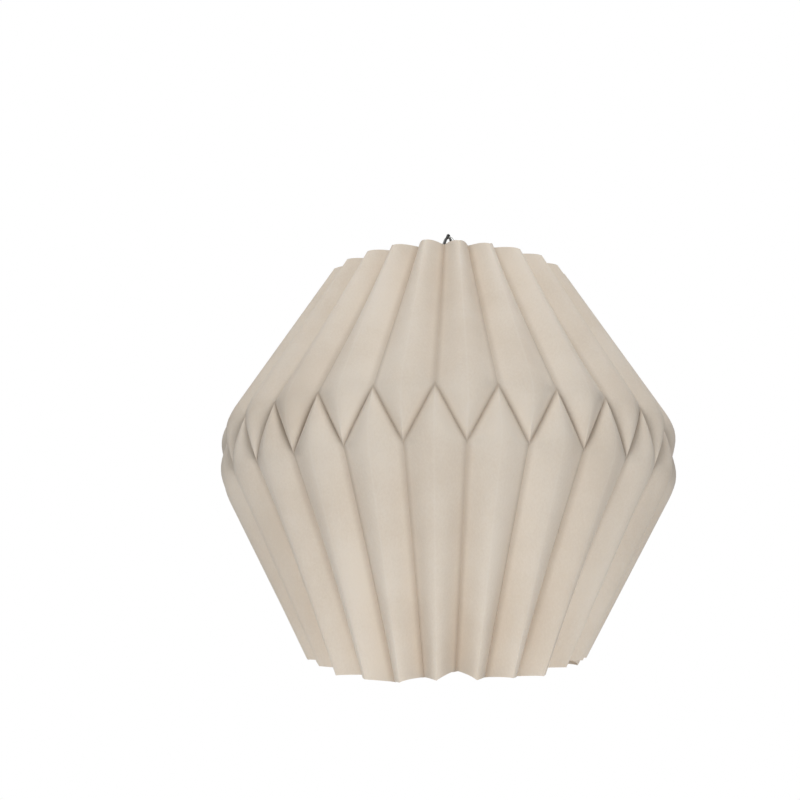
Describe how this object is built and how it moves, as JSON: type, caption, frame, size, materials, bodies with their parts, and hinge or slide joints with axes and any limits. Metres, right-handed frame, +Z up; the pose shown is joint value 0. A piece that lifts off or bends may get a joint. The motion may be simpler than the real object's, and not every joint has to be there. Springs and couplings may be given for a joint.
{
  "type": "pleated paper lantern",
  "caption": "Hanging lantern: a folded paper shell with a zigzag waist, wire rims, a peaked hanger wire and a battery light inside.",
  "frame": {"origin": "the bearing point inside the peak of the hanger wire, where a hook or string holds the lantern up", "axes": "+Z up along the lantern's own axis; the lantern hangs below the origin; -Y is the side first seen"},
  "size_m": [0.3, 0.3, 0.2957],
  "materials": {
    "paper": "matte folded paper",
    "seam_tape": "matte gummed paper strip",
    "zinc_wire": "zinc-plated drawn wire",
    "black_wire": "black satin coat",
    "white_plastic": "fine moulded texture",
    "frosted_plastic": "frosted, translucent",
    "grey_plastic": "fine moulded texture",
    "black_plastic": "satin",
    "cell_sleeve": "shrink sleeve",
    "nickel": "nickel plate",
    "board_green": "solder mask",
    "led_face": "phosphor gel",
    "red_lead": "insulation",
    "black_lead": "insulation"
  },
  "bodies": {
    "hanger": {"hanger_wire": "zinc_wire"},
    "shade": {"front_paper_sheet": "paper", "rear_paper_sheet": "paper", "left_seam_strip": "seam_tape", "right_seam_strip": "seam_tape", "top_wire_ring": "zinc_wire", "bottom_wire_ring": "zinc_wire"},
    "bail": {"light_bail": "black_wire"},
    "light": {"light_housing": "white_plastic", "battery_cell_left": "cell_sleeve", "battery_cell_right": "cell_sleeve", "negative_plate": "nickel", "negative_spring": "nickel", "positive_plate": "nickel", "switch_body": "black_plastic", "led_board": "board_green", "led_1": "led_face", "led_2": "led_face", "led_3": "led_face", "led_4": "led_face", "led_5": "led_face", "led_6": "led_face", "board_screw_left": "nickel", "board_screw_right": "nickel", "frosted_globe": "frosted_plastic", "red_lead": "red_lead", "black_lead": "black_lead"},
    "lid": {"battery_lid": "grey_plastic", "lid_link_plate": "nickel", "lid_spring": "nickel"},
    "knob": {"switch_knob": "grey_plastic"}
  },
  "joints": [
    {"name": "shade_tilt", "type": "hinge", "parent": "hanger", "child": "shade", "pos_m": [0, 0, -0.0385], "axis": [0.9011, -0.4337, 0], "range_deg": [-30, 30]},
    {"name": "bail_swing", "type": "hinge", "parent": "hanger", "child": "bail", "pos_m": [0, 0, 0.0009], "axis": [0.9011, -0.4337, 0], "range_deg": [-20, 20]},
    {"name": "light_swing", "type": "hinge", "parent": "bail", "child": "light", "pos_m": [0, 0, -0.034], "axis": [0.4337, 0.9011, 0], "range_deg": [-30, 30]},
    {"name": "lid_twist", "type": "hinge", "parent": "light", "child": "lid", "pos_m": [0, 0, -0.03], "axis": [0, 0, 1], "range_deg": [0, 40]},
    {"name": "switch_slide", "type": "slide", "parent": "light", "child": "knob", "axis": [0, 0, 1], "range_m": [0, 0.0025]}
  ]
}
